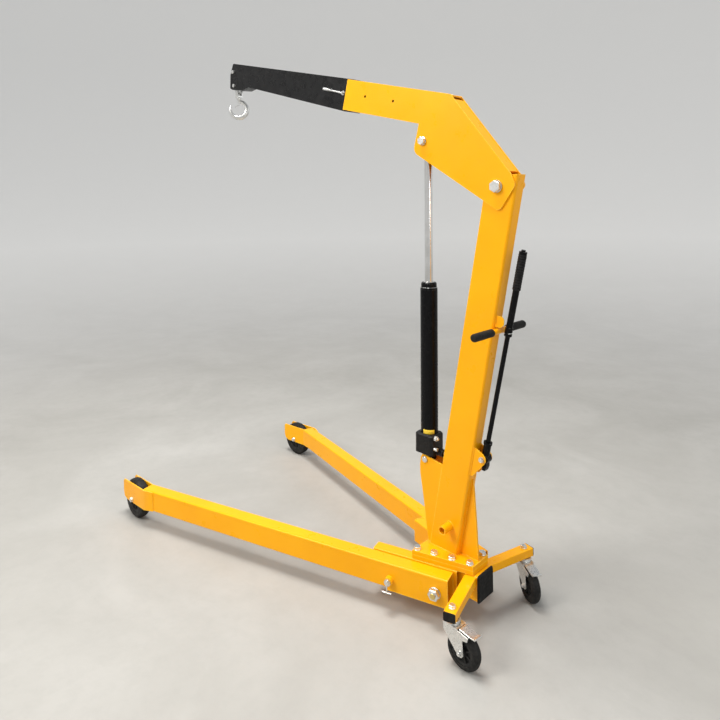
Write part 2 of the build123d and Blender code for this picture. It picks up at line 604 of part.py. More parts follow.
# Webs between the plates: over the arm, down the slope, and under the arm.
WEB_T, WEB_IN, STOP_S = 6, 2, -52
WEB_HI, WEB_LO = 62 - WEB_IN, 62 - WEB_IN - WEB_T
top_web = [along_boom(STOP_S, WEB_HI), along_boom(-528, WEB_HI),
           along_boom(-528, WEB_LO), along_boom(STOP_S, WEB_LO)]
under_web = [along_boom(STOP_S, -WEB_LO), along_boom(-400, -WEB_LO),
             along_boom(-400, -WEB_HI), along_boom(STOP_S, -WEB_HI)]
slope_web = [(-675, 1824), (-883, 1560), (-878.3, 1556.3), (-670.3, 1820.3)]
with BuildPart() as boom_webs:
    for outline in (top_web, under_web, slope_web):
        add(side_plate(outline, -BOOM_PLATE_IN, BOOM_PLATE_IN))
boom_webs.part.label = "boom_webs"
export_step(boom_webs.part, "parts/boom_webs.step")

with BuildPart() as ram_top_bolt:
    add(bolt((RAM_TOP[0], 35, RAM_TOP[1]), (0, 1, 0), RAM_TOP_R, 70, 27, 11, 16, tail=4))
ram_top_bolt.part.label = "ram_top_bolt"
export_step(ram_top_bolt.part, "parts/ram_top_bolt.step")

# ----------------------------------------------------------------------- jib
jib_side = [along_boom(-50, -61), along_boom(-36, -67), along_boom(0, -68), along_boom(690, -44),
            along_boom(736, -63), along_boom(826, -71), along_boom(848, -66), along_boom(862, 0),
            along_boom(851, 55), along_boom(842, 58), along_boom(0, 65), along_boom(-36, 65),
            along_boom(-50, 61)]
jib_hollow = [along_boom(-50, -46), along_boom(-40, -56), along_boom(0, -63), along_boom(690, -39),
              along_boom(738, -58), along_boom(843, -64), along_boom(856, 0), along_boom(846, 52),
              along_boom(0, 60), along_boom(-40, 56), along_boom(-50, 46)]
insert_side = [along_boom(-430, -51), along_boom(-49, -51), along_boom(-49, 51), along_boom(-430, 51)]
insert_hollow = [along_boom(-440, -46), along_boom(-40, -46), along_boom(-40, 46), along_boom(-440, 46)]
tip_slot = [along_boom(778, -90), along_boom(848, -90), along_boom(848, -40), along_boom(778, -40)]
HOOK_PIN = (HOOK_X, HOOK_PIN_Z)
JIB_PIN = along_boom(18, 4)
JIB_PIN_R = 6
TIP_BOLT = along_boom(838, 16)
with BuildPart() as jib:
    add(side_plate(jib_side, -JIB_HALF_W, JIB_HALF_W))
    add(side_plate(insert_side, -JIB_HALF_W, JIB_HALF_W))
    add(side_plate(jib_hollow, -JIB_HALF_W + 5, JIB_HALF_W - 5), mode=Mode.SUBTRACT)
    add(side_plate(insert_hollow, -JIB_HALF_W + 5, JIB_HALF_W - 5), mode=Mode.SUBTRACT)
    add(side_plate(tip_slot, -17, 17), mode=Mode.SUBTRACT)
    add(rod((JIB_PIN[0], 60, JIB_PIN[1]), (0, -1, 0), JIB_PIN_R + 0.05, 120), mode=Mode.SUBTRACT)
    for x, z in (HOOK_PIN, TIP_BOLT, along_boom(-113, 5), along_boom(-263, 5)):
        add(rod((x, 60, z), (0, -1, 0), 6, 120), mode=Mode.SUBTRACT)
jib.part.label = "jib"
export_step(jib.part, "parts/jib.step")

with BuildPart() as jib_bolts:
    for x, z in (TIP_BOLT, HOOK_PIN):
        add(bolt((x, 27, z), (0, 1, 0), 6, 54, 17, 5, 9, tail=2))
jib_bolts.part.label = "jib_bolts"
export_step(jib_bolts.part, "parts/jib_bolts.step")

# Locking pin of the jib, with its handle bent to lie along the jib.
handle_angle = radians(BOOM_ANGLE + 2)
handle_way = Vector(cos(handle_angle), 0, sin(handle_angle))
pin_end = Vector(JIB_PIN[0], 36, JIB_PIN[1])
with BuildPart() as jib_pin:
    add(rod((JIB_PIN[0], 39, JIB_PIN[1]), (0, -1, 0), JIB_PIN_R, 70))
    add(rod((JIB_PIN[0], 27.4, JIB_PIN[1]), (0, 1, 0), 9, 4))
    add(rod(pin_end - handle_way * 6, handle_way, 4, 116))
    add(rod(pin_end + handle_way * 84, handle_way, 6.5, 32))
jib_pin.part.label = "jib_pin"
export_step(jib_pin.part, "parts/jib_pin.step")

# ---------------------------------------------------------------------- hook
HOOK_PLANE_X = Vector(cos(radians(HOOK_TURN)), sin(radians(HOOK_TURN)), 0)
HOOK_SHANK_R = 6
strap = [(HOOK_X - 11, 2036), (HOOK_X + 11, 2036), (HOOK_X + 11, HOOK_PIN_Z),
         (HOOK_X + 7, HOOK_PIN_Z + 11), (HOOK_X - 7, HOOK_PIN_Z + 11), (HOOK_X - 11, HOOK_PIN_Z)]
with BuildPart() as hook_link:
    for y_min in (9, -14):
        add(side_plate(strap, y_min, y_min + 5))
    with Locations((HOOK_X, 0, 2032)):
        Box(24, 28, 8)
    add(rod((HOOK_X, 60, HOOK_PIN_Z), (0, -1, 0), 6.05, 120), mode=Mode.SUBTRACT)
    add(rod((HOOK_X, 0, 2020), (0, 0, 1), HOOK_SHANK_R + 0.05, 30), mode=Mode.SUBTRACT)
hook_link.part.label = "hook_link"
export_step(hook_link.part, "parts/hook_link.step")

# The hook is a bent bar whose throat opens away from the crane, under a swivel nut.
HOOK_R, HOOK_BAR = 40, 11
THROAT_FROM, THROAT_TO = 30, 84
hook_centre = Vector(HOOK_X, 0, HOOK_CENTRE_Z)
hook_axis = Axis(hook_centre, HOOK_PLANE_X.cross(Vector(0, 0, 1)))


def on_hook(angle, radius=HOOK_R):
    a = radians(angle)
    return hook_centre + HOOK_PLANE_X * (radius * cos(a)) + Vector(0, 0, radius * sin(a))


with BuildPart() as hook:
    bar_plane = Plane(origin=on_hook(90), x_dir=(0, 0, 1), z_dir=HOOK_PLANE_X)
    with BuildSketch(bar_plane):
        Circle(HOOK_BAR)
    revolve(axis=hook_axis, revolution_arc=300)
    with Locations(on_hook(90)):
        Sphere(HOOK_BAR)
    with Locations(on_hook(THROAT_FROM)):
        Sphere(HOOK_BAR)
    add(rod(on_hook(90), (0, 0, 1), 10, 2027.6 - HOOK_CENTRE_Z - HOOK_R))
    add(rod((HOOK_X, 0, 2016), (0, 0, 1), 12, 11.6))
    add(rod((HOOK_X, 0, 2020), (0, 0, 1), HOOK_SHANK_R, 34))
    add(hexagon((HOOK_X, 0, 2036.4), (0, 0, 1), 15, 12))
hook.part.label = "hook"
export_step(hook.part, "parts/hook.step")

# Sprung latch: a strip from a pin on the hook's neck across to its tip, on the inside.
latch_from = on_hook(96, HOOK_R - HOOK_BAR - 2.5)
latch_to = on_hook(THROAT_FROM + 4, HOOK_R - HOOK_BAR - 3.5)
latch_way = (latch_to - latch_from).normalized()
latch_mid = latch_from + (latch_to - latch_from) * 0.5
latch_length = (latch_to - latch_from).length
latch_plane = Plane(origin=latch_mid, x_dir=latch_way, z_dir=hook_axis.direction)
with BuildPart(latch_plane) as hook_latch:
    Box(latch_length, 2.5, 15)
hook_latch.part.label = "hook_latch"
export_step(hook_latch.part, "parts/hook_latch.step")

# ----------------------------------------------------------------------- ram
ram_length = hypot(RAM_TOP[0] - RAM_FOOT[0], RAM_TOP[1] - RAM_FOOT[1])
ram_way = Vector(RAM_TOP[0] - RAM_FOOT[0], 0, RAM_TOP[1] - RAM_FOOT[1]).normalized()
ram_across = Vector(ram_way.Z, 0, -ram_way.X)
CYL_FROM, CYL_TO, GLAND_LENGTH = 96, 632, 26


def on_ram(w, x=0.0, y=0.0):
    """A point at distance w up the ram from its foot pin."""
    return Vector(RAM_FOOT[0], y, RAM_FOOT[1]) + ram_way * w + ram_across * x


with BuildPart() as ram_cylinder:
    add(rod(on_ram(CYL_FROM), ram_way, RAM_R, CYL_TO - CYL_FROM, bore=RAM_BORE_R))
ram_cylinder.part.label = "ram_cylinder"
export_step(ram_cylinder.part, "parts/ram_cylinder.step")

with BuildPart() as ram_gland:
    add(rod(on_ram(CYL_TO), ram_way, RAM_R - 0.5, 6))
    add(rod(on_ram(CYL_TO + 6), ram_way, RAM_R - 3, GLAND_LENGTH - 6))
    top = ram_gland.faces().sort_by(Axis.Z)[-1]
    chamfer(top.edges(), 4)
    for i in range(6):
        notch_way = ram_across.rotate(Axis((0, 0, 0), ram_way), 60 * i)
        add(rod(on_ram(CYL_TO + 8) + notch_way * 26, notch_way, 3, 12), mode=Mode.SUBTRACT)
    add(rod(on_ram(CYL_TO - 20), ram_way, ROD_R + 0.05, 60), mode=Mode.SUBTRACT)
ram_gland.part.label = "ram_gland"
export_step(ram_gland.part, "parts/ram_gland.step")

# Cast pump block around the foot of the cylinder, with the eye that hangs on the foot pin.
block_plane = Plane(origin=on_ram(0), x_dir=ram_across, z_dir=ram_way)
with BuildPart() as pump_block:
    with BuildSketch(block_plane.offset(23)):
        with Locations((1, 0)):
            RectangleRounded(84, 76, 16)
    extrude(amount=CYL_FROM - 23)
    chamfer(pump_block.faces().sort_by(Axis.Z)[-1].edges(), 5)
    with BuildSketch(block_plane.offset(-13)):
        Rectangle(34, 40)
    extrude(amount=38)
    fillet(pump_block.faces().sort_by(Axis.Z)[0].edges().filter_by(Axis.Y), 12)
    add(rod((RAM_FOOT[0], 60, RAM_FOOT[1]), (0, -1, 0), RAM_PIN_R + 0.05, 120), mode=Mode.SUBTRACT)
    # pump barrel, towards the mast
    add(rod((RAM_FOOT[0] - 32, 0, PUSH_Z), (-1, 0, 0), 14, 34))
    add(rod((RAM_FOOT[0] - 70, 0, PUSH_Z), (1, 0, 0), 9.5, 62), mode=Mode.SUBTRACT)
pump_block.part.label = "pump_block"
export_step(pump_block.part, "parts/pump_block.step")

# Bright fittings on the pump block: filler plug and relief valve.
with BuildPart() as pump_fittings:
    plug = on_ram(86, -41, 20)
    add(hexagon(plug, ram_across * -1, 17, 9))
    add(rod(plug + ram_across * -9, ram_across * -1, 5, 5))
    valve = on_ram(48, -41, 24)
    add(rod(valve, ram_across * -1, 7, 8))
    add(hexagon(valve + ram_across * -8, ram_across * -1, 12, 6))
pump_fittings.part.label = "pump_fittings"
export_step(pump_fittings.part, "parts/pump_fittings.step")

# Chrome rod with its piston, and a slotted eye at the boom.
PISTON_FROM = 584
EYE_W, EYE_H, EYE_WALL = 56, 48, 8
with BuildPart() as ram_rod:
    add(rod(on_ram(PISTON_FROM), ram_way, RAM_BORE_R - 0.05, 32))
    add(rod(on_ram(PISTON_FROM), ram_way, ROD_R, ram_length - PISTON_FROM - 24))
ram_rod.part.label = "ram_rod"
export_step(ram_rod.part, "parts/ram_rod.step")

eye_plane = Plane(origin=on_ram(ram_length, 0, -20), x_dir=ram_across, z_dir=(0, 1, 0))
with BuildPart() as rod_eye:
    with BuildSketch(eye_plane):
        RectangleRounded(EYE_W, EYE_H, 18)
        RectangleRounded(EYE_W - 2 * EYE_WALL, EYE_H - 2 * EYE_WALL, 10, mode=Mode.SUBTRACT)
    extrude(amount=40)
rod_eye.part.label = "rod_eye"
export_step(rod_eye.part, "parts/rod_eye.step")

# Push rod from the lever, through the mast, into the pump barrel. The barrel leaves room
# for the small tilt of the ram.
LEVER_TAIL_X = LEVER_PIVOT[0] + 7
with BuildPart() as push_rod:
    add(rod((LEVER_TAIL_X + 3, 0, PUSH_Z), (1, 0, 0), 5, 182))
    add(rod((LEVER_TAIL_X + 3, 0, PUSH_Z), (1, 0, 0), 7, 6))
push_rod.part.label = "push_rod"
export_step(push_rod.part, "parts/push_rod.step")

# ---------------------------------------------------------------- pump lever
lever_way = Vector(-LEVER_LEAN, 0, 1).normalized()


def on_lever(w):
    """A point at distance w up the lever from its pivot."""
    return Vector(LEVER_PIVOT[0], 0, LEVER_PIVOT[1]) + lever_way * w


with BuildPart() as lever_socket:
    add(rod(on_lever(-6), lever_way, 13, 66))
    add(rod(on_lever(52), lever_way, 15, 8))
    add(side_plate([(LEVER_TAIL_X, 534), (LEVER_TAIL_X, 556), (-749, 580), (-772, 584), (-770, 548),
                    (-764, 534)], -11, 11))
    add(rod((LEVER_PIVOT[0], LEVER_BOSS_HALF, LEVER_PIVOT[1]), (0, -1, 0), LEVER_BOSS_R,
            2 * LEVER_BOSS_HALF))
    add(rod((LEVER_PIVOT[0], 60, LEVER_PIVOT[1]), (0, -1, 0), LEVER_BOLT_R + 0.05, 120), mode=Mode.SUBTRACT)
    add(rod(on_lever(24), lever_way, 8, 60), mode=Mode.SUBTRACT)
lever_socket.part.label = "lever_socket"
export_step(lever_socket.part, "parts/lever_socket.step")

JOINT_W, TOP_W = 446, 742
with BuildPart() as lever_rod:
    add(rod(on_lever(24), lever_way, 8, JOINT_W + 40 - 24))
lever_rod.part.label = "lever_rod"
export_step(lever_rod.part, "parts/lever_rod.step")

with BuildPart() as lever_tube:
    add(rod(on_lever(JOINT_W), lever_way, 11, TOP_W - JOINT_W - 6))
    add(rod(on_lever(JOINT_W), lever_way, 13, 30))
    add(rod(on_lever(TOP_W - 130), lever_way, 13, 124))
    add(rod(on_lever(JOINT_W - 4), lever_way, 8, 44), mode=Mode.SUBTRACT)
    add(rod(on_lever(TOP_W - 6), lever_way, 7, 6))
lever_tube.part.label = "lever_tube"
export_step(lever_tube.part, "parts/lever_tube.step")
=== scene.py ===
"""The looks of a folding engine hoist crane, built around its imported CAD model."""
import json
import math

import bmesh
import bpy
from mathutils import Matrix, Vector


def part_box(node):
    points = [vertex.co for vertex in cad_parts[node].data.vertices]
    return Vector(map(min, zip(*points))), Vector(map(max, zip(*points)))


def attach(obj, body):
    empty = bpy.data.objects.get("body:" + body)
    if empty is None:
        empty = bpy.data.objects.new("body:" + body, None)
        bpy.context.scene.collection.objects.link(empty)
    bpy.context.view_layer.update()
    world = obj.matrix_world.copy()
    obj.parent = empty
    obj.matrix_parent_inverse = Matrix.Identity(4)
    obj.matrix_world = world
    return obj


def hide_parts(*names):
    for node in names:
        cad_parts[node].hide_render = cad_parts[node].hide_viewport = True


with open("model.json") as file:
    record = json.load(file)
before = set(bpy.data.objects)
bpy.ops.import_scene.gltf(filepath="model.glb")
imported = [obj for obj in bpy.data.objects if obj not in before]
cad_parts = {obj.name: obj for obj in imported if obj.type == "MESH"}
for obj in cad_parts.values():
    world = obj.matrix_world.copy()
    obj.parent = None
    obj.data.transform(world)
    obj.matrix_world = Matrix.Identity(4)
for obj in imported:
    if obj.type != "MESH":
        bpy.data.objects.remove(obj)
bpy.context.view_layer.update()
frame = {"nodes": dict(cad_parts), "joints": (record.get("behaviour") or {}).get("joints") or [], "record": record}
RECORD = frame["record"]
BODY_OF = {node: body for body, nodes in RECORD["behaviour"]["bodies"].items() for node in nodes}
JOINTS = {joint["name"]: joint for joint in frame["joints"]}
SIDES = ((1, "left"), (-1, "right"))

# ------------------------------------------------- sizes of the design, in metres
LEVER_LEAN = 0.2146         # run of the lever for each metre of height
MAST_LEAN = 0.195           # run of the mast for each metre of height
MAST_DEPTH = 0.115          # of the mast tube, measured level
LEG_BOLT_END = 0.0503       # from a leg pivot's joint to where its bolt's thread end starts
CYLINDER_R = 0.032          # outside of the ram cylinder
HOOK_OUTER = 0.051          # outer radius of the hook's bowl
HOOK_TURN = math.radians(50)    # of the hook's plane from straight ahead

WHEELS = {
    "front": dict(joint="front_wheel_{}_spin", half_width=0.0225, bore_share=0.645, crown=0.0018,
                  rib_in=0.0175, rib_out=0.0495, rib_height=0.0165, rib_count=10),
    "caster": dict(joint="caster_{}_spin", half_width=0.017, bore_share=0.684, crown=0.0030,
                   rib_in=0.0155, rib_out=0.0325, rib_height=0.0115, rib_count=8),
}


# ------------------------------------------------------------- material tools
class Shader:
    """Builds one procedural material on a Principled BSDF, in object space (metres)."""

    def __init__(self, name, colour, roughness, metallic=0.0, **sockets):
        self.material = bpy.data.materials.new(name)
        self.material.use_nodes = True
        self.tree = self.material.node_tree
        self.bsdf = self.tree.nodes["Principled BSDF"]
        self.bsdf.inputs["Base Color"].default_value = (*colour, 1.0)
        self.bsdf.inputs["Roughness"].default_value = roughness
        self.bsdf.inputs["Metallic"].default_value = metallic
        for socket, value in sockets.items():
            self.bsdf.inputs[socket.replace("_", " ")].default_value = value
        self.coords = self.tree.nodes.new("ShaderNodeTexCoord").outputs["Object"]
        self.height = None

    def link(self, a, b):
        self.tree.links.new(a, b)

    def noise(self, scale, detail=4.0, roughness=0.55, distortion=0.0, stretch=(1, 1, 1)):
        place = self.tree.nodes.new("ShaderNodeMapping")
        place.inputs["Scale"].default_value = stretch
        self.link(self.coords, place.inputs["Vector"])
        node = self.tree.nodes.new("ShaderNodeTexNoise")
        node.inputs["Scale"].default_value = scale
        node.inputs["Detail"].default_value = detail
        node.inputs["Roughness"].default_value = roughness
        node.inputs["Distortion"].default_value = distortion
        self.link(place.outputs["Vector"], node.inputs["Vector"])
        return node.outputs["Fac"]

    def ramp(self, source, low, high, out_low, out_high):
        node = self.tree.nodes.new("ShaderNodeMapRange")
        node.inputs["From Min"].default_value = low
        node.inputs["From Max"].default_value = high
        node.inputs["To Min"].default_value = out_low
        node.inputs["To Max"].default_value = out_high
        self.link(source, node.inputs["Value"])
        return node.outputs["Result"]

    def maths(self, kind, a, b):
        node = self.tree.nodes.new("ShaderNodeMath")
        node.operation = kind
        for socket, value in zip(node.inputs, (a, b)):
            if isinstance(value, (int, float)):
                socket.default_value = value
            else:
                self.link(value, socket)
        return node.outputs["Value"]

    def edges(self, width):
        """1 on an edge, 0 on a flat: how far a rounded normal leaves the true one. It masks worn edges, and on the
        yellow paint the painted edge highlight.
        """
        bevel = self.tree.nodes.new("ShaderNodeBevel")
        bevel.samples = 6
        bevel.inputs["Radius"].default_value = width
        geometry = self.tree.nodes.new("ShaderNodeNewGeometry")
        dot = self.tree.nodes.new("ShaderNodeVectorMath")
        dot.operation = "DOT_PRODUCT"
        self.link(bevel.outputs["Normal"], dot.inputs[0])
        self.link(geometry.outputs["Normal"], dot.inputs[1])
        return self.ramp(dot.outputs["Value"], 0.995, 0.9, 0.0, 1.0)

    def colour(self, fac, a, b):
        """Blend by fac from a, a colour or another node's output, to the colour b."""
        mix = self.tree.nodes.new("ShaderNodeMix")
        mix.data_type = "RGBA"
        self.link(fac, mix.inputs["Factor"])
        if isinstance(a, tuple):
            mix.inputs["A"].default_value = (*a, 1.0)
        else:
            self.link(a, mix.inputs["A"])
        mix.inputs["B"].default_value = (*b, 1.0)
        return mix.outputs["Result"]

    def bump(self, height, distance, strength=1.0):
        node = self.tree.nodes.new("ShaderNodeBump")
        node.inputs["Distance"].default_value = distance
        node.inputs["Strength"].default_value = strength
        self.link(height, node.inputs["Height"])
        if self.height is not None:
            self.link(self.height, node.inputs["Normal"])
        self.height = node.outputs["Normal"]
        self.link(self.height, self.bsdf.inputs["Normal"])

    def set(self, socket, source):
        self.link(source, self.bsdf.inputs[socket])


# ------------------------------------------------------------------ materials
def powder_coat(name, colour, dark, light, roughness):
    """Glossy powder coat: orange peel, slow colour drift, bright edges that are a painted highlight, darker
    scuffs.
    """
    m = Shader(name, colour, roughness, Coat_Weight=0.05, Coat_Roughness=0.15, Specular_IOR_Level=0.2)
    drift = m.ramp(m.noise(3.2, 5.0), 0.3, 0.7, 0.0, 1.0)
    base = m.colour(drift, dark, colour)
    scuffs = m.ramp(m.noise(34.0, 9.0, 0.7, 0.6, (1, 1, 2.5)), 0.62, 0.74, 0.0, 0.35)
    base = m.colour(scuffs, base, dark)
    # Painted highlight: the edges are blended towards the light colour to stand in for light catching the rounded
    # plate edges.
    edge_rub_and_highlight = m.maths("MULTIPLY", m.edges(0.0030), m.ramp(m.noise(60.0, 6.0), 0.36, 0.60, 0.35, 1.0))
    base = m.colour(edge_rub_and_highlight, base, light)
    m.set("Base Color", base)
    m.set("Roughness", m.ramp(m.noise(18.0, 6.0, 0.65), 0.25, 0.75, roughness - 0.07, roughness + 0.12))
    m.bump(m.noise(520.0, 2.0), 0.00012, 0.5)
    m.bump(m.noise(9.0, 3.0), 0.0006, 0.12)
    return m.material


def zinc(name, colour=(0.80, 0.80, 0.78)):
    """Bright zinc plate: cloudy spangle, fine scratches and a slight warm bloom."""
    m = Shader(name, colour, 0.3, 1.0)
    cloud = m.ramp(m.noise(70.0, 5.0), 0.3, 0.7, 0.0, 1.0)
    base = m.colour(cloud, tuple(0.84 * c for c in colour), colour)
    grime = m.ramp(m.noise(26.0, 8.0, 0.7), 0.55, 0.75, 0.0, 0.22)
    m.set("Base Color", m.colour(grime, base, (0.3, 0.27, 0.22)))
    m.set("Roughness", m.ramp(m.noise(190.0, 4.0, 0.6, 0.0, (1, 1, 7)), 0.3, 0.7, 0.2, 0.42))
    m.bump(m.noise(900.0, 3.0, 0.6, 0.0, (1, 1, 6)), 0.00008, 0.6)
    return m.material


def chrome():
    """Ground and plated ram rod, with faint rings of handling along its length."""
    m = Shader("chrome_rod", (0.8, 0.79, 0.78), 0.12, 1.0)
    m.set("Roughness", m.ramp(m.noise(90.0, 4.0, 0.6, 0.0, (0.2, 0.2, 5)), 0.3, 0.7, 0.07, 0.22))
    m.set("Base Color", m.colour(m.ramp(m.noise(12.0, 4.0), 0.4, 0.7, 0.0, 1.0), (0.82, 0.81, 0.8),
                                 (0.66, 0.65, 0.63)))
    m.bump(m.noise(1400.0, 2.0, 0.5, 0.0, (0.1, 0.1, 1)), 0.00003, 0.5)
    return m.material


def black_gloss(name, roughness, dust, gloss):
    """Black enamel with a light film of dust and rubbed grey edges."""
    m = Shader(name, (0.004, 0.004, 0.0045), roughness, Specular_IOR_Level=gloss)
    film = m.ramp(m.noise(24.0, 8.0, 0.65), 0.42, 0.8, 0.0, dust)
    base = m.colour(film, (0.0035, 0.0035, 0.004), (0.10, 0.096, 0.09))
    edge_rub_and_highlight = m.maths("MULTIPLY", m.edges(0.0018), m.ramp(m.noise(80.0, 5.0), 0.45, 0.6, 0.0, 0.6))
    m.set("Base Color", m.colour(edge_rub_and_highlight, base, (0.2, 0.2, 0.2)))
    m.set("Roughness", m.ramp(m.noise(30.0, 6.0), 0.25, 0.75, roughness - 0.06, roughness + 0.14))
    m.bump(m.noise(480.0, 2.0), 0.0001, 0.5)
    return m.material


def cast_iron():
    """Sand casting under black paint: coarse grain and dull high spots."""
    m = Shader("cast_black", (0.006, 0.006, 0.006), 0.5, Specular_IOR_Level=0.25)
    base = m.colour(m.ramp(m.noise(140.0, 6.0), 0.4, 0.7, 0.0, 0.5), (0.004, 0.004, 0.0042),
                    (0.022, 0.021, 0.020))
    edge_rub_and_highlight = m.maths("MULTIPLY", m.edges(0.003), m.ramp(m.noise(90.0, 5.0), 0.4, 0.6, 0.0, 0.5))
    m.set("Base Color", m.colour(edge_rub_and_highlight, base, (0.16, 0.16, 0.155)))
    m.set("Roughness", m.ramp(m.noise(220.0, 5.0), 0.3, 0.7, 0.36, 0.62))
    m.bump(m.noise(420.0, 5.0, 0.65), 0.0005, 0.7)
    return m.material


def tyre_rubber(name, colour, dust_colour, dust):
    """Rubber or moulded nylon, dusty where it has rolled."""
    m = Shader(name, colour, 0.72, Specular_IOR_Level=0.25)
    film = m.ramp(m.noise(46.0, 9.0, 0.7), 0.4, 0.72, 0.0, dust)
    base = m.colour(film, colour, dust_colour)
    edge_rub_and_highlight = m.maths("MULTIPLY", m.edges(0.0016), m.ramp(m.noise(120.0, 5.0), 0.42, 0.62, 0.0, 0.5))
    m.set("Base Color", m.colour(edge_rub_and_highlight, base, dust_colour))
    m.set("Roughness", m.ramp(m.noise(80.0, 6.0), 0.25, 0.75, 0.5, 0.85))
    m.bump(m.noise(700.0, 4.0, 0.6), 0.00025, 0.7)
    return m.material


def concrete():
    """Pale power-floated floor with soft trowel clouds and fine grit. Towards the backdrop it turns paler and
    glows, a painted light that brightens the far floor.
    """
    m = Shader("floor_concrete", (0.4, 0.39, 0.37), 0.55, Emission_Strength=1.0)
    cloud = m.ramp(m.noise(1.1, 7.0, 0.6, 0.8), 0.3, 0.72, 0.0, 1.0)
    base = m.colour(cloud, (0.35, 0.34, 0.315), (0.435, 0.425, 0.40))
    fine = m.ramp(m.noise(14.0, 9.0, 0.7), 0.45, 0.75, 0.0, 0.3)
    base = m.colour(fine, base, (0.31, 0.30, 0.28))
    reach = m.tree.nodes.new("ShaderNodeVectorMath")
    reach.operation = "LENGTH"
    m.link(m.coords, reach.inputs[0])
    # Painted light: with distance the floor's colour pales and it gives off a faint glow, standing in for light
    # the lamps do not bring to the far floor.
    far_glow = m.ramp(reach.outputs["Value"], 2.6, 9.0, 0.0, 1.0)
    m.set("Base Color", m.colour(far_glow, base, (0.72, 0.71, 0.69)))
    m.set("Emission Color", m.colour(far_glow, (0.0, 0.0, 0.0), (0.20, 0.20, 0.195)))
    m.set("Roughness", m.ramp(m.noise(4.0, 6.0), 0.3, 0.7, 0.5, 0.7))
    m.bump(m.noise(160.0, 6.0), 0.0004, 0.25)
    return m.material


def label_film():
    """Satin film of a label with nothing on it."""
    m = Shader("label_film", (0.9, 0.62, 0.03), 0.38)
    m.set("Base Color", m.colour(m.ramp(m.noise(60.0, 6.0), 0.35, 0.7, 0.0, 1.0), (0.92, 0.64, 0.03),
                                 (0.78, 0.52, 0.05)))
    m.set("Roughness", m.ramp(m.noise(90.0, 4.0), 0.3, 0.7, 0.3, 0.5))
    m.bump(m.noise(300.0, 3.0), 0.00006, 0.5)
    return m.material


YELLOW = (0.97, 0.44, 0.002)
MATERIALS = {
    # Yellow paint: its colour, the darker colour of drift and scuffs, then the colour of the painted edge
    # highlight.
    "yellow_paint": powder_coat("yellow_paint", YELLOW, (0.92, 0.385, 0.0015), (1.0, 0.70, 0.08), 0.3),
    "black_paint": black_gloss("black_paint", 0.26, 0.06, 0.28),
    "zinc": zinc("zinc"),
    "chrome": chrome(),
    "cast_black": cast_iron(),
    "tyre_black": tyre_rubber("tyre_black", (0.006, 0.006, 0.006), (0.075, 0.070, 0.062), 0.4),
    "wheel_black": tyre_rubber("wheel_grey", (0.014, 0.014, 0.014), (0.09, 0.087, 0.08), 0.4),
    "cap_black": tyre_rubber("cap_black", (0.004, 0.004, 0.004), (0.045, 0.043, 0.04), 0.3),
    "grip_black": tyre_rubber("grip_black", (0.005, 0.005, 0.005), (0.05, 0.048, 0.045), 0.3),
}
ZINC_GOLD = zinc("zinc_gold", (0.78, 0.60, 0.22))
ENAMEL = black_gloss("black_enamel", 0.2, 0.01, 0.12)
ENAMELLED = ("ram_cylinder", "ram_gland", "lever_socket", "lever_rod", "lever_tube", "rod_eye")
SLOT_OF = {part["node"]: part["material_slot"] for part in RECORD["subparts"]}


def material_of(node):
    return ENAMEL if node in ENAMELLED else MATERIALS[SLOT_OF[node]]


# ---------------------------------------------------------------- piece tools
FLAT_WITHIN = math.radians(0.5)
HARD_EDGE = math.radians(28.0)
SPLIT_EDGE = math.radians(35)
SWEEP_SIDES = 8


def finish_piece(obj, body, slot, material=None):
    """Give a new piece its material, the one of its record slot unless another is given, and its CAD body."""
    obj.data.materials.clear()
    obj.data.materials.append(material or MATERIALS[slot])
    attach(obj, body)
    return obj


def mesh_object(name, bm, smooth=True):
    mesh = bpy.data.meshes.new(name)
    bm.to_mesh(mesh)
    bm.free()
    obj = bpy.data.objects.new(name, mesh)
    bpy.context.scene.collection.objects.link(obj)
    for polygon in mesh.polygons:
        polygon.use_smooth = smooth
    return obj


def soften(node, width):
    """Stand in for a CAD node with a copy whose hard edges carry a small round."""
    source = frame["nodes"][node]
    bm = bmesh.new()
    bm.from_mesh(source.data)
    bmesh.ops.remove_doubles(bm, verts=bm.verts, dist=1e-6)
    bmesh.ops.dissolve_limit(bm, angle_limit=FLAT_WITHIN, verts=bm.verts, edges=bm.edges)
    obj = mesh_object(node + "_body", bm)
    bevel = obj.modifiers.new("round", "BEVEL")
    bevel.width = width
    bevel.segments = 2
    bevel.limit_method = "ANGLE"
    bevel.angle_limit = HARD_EDGE
    bevel.harden_normals = True
    even = obj.modifiers.new("even", "WEIGHTED_NORMAL")
    even.mode = "FACE_AREA"
    even.weight = 100
    finish_piece(obj, BODY_OF[node], SLOT_OF[node], material_of(node))
    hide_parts(node)


def frame_of(axis):
    """The unit axis and two directions square to it."""
    along = Vector(axis).normalized()
    side = along.orthogonal().normalized()
    return along, side, along.cross(side)


def lathe(name, centre, axis, profile, body, slot, steps=64, material=None):
    """A closed ring of (radius, offset) points turned about an axis."""
    along, side, up = frame_of(axis)
    bm = bmesh.new()
    rings = []
    for i in range(steps):
        a = 2 * math.pi * i / steps
        out = side * math.cos(a) + up * math.sin(a)
        rings.append([bm.verts.new(Vector(centre) + out * r + along * h) for r, h in profile])
    n = len(profile)
    for i in range(steps):
        here, there = rings[i], rings[(i + 1) % steps]
        for j in range(n):
            k = (j + 1) % n
            if profile[j][0] > 0 or profile[k][0] > 0:
                bm.faces.new((here[j], here[k], there[k], there[j]))
    bmesh.ops.remove_doubles(bm, verts=bm.verts, dist=1e-7)
    bmesh.ops.recalc_face_normals(bm, faces=bm.faces)
    obj = mesh_object(name, bm)
    sharp = obj.modifiers.new("sharp", "EDGE_SPLIT")
    sharp.split_angle = SPLIT_EDGE
    return finish_piece(obj, body, slot, material)


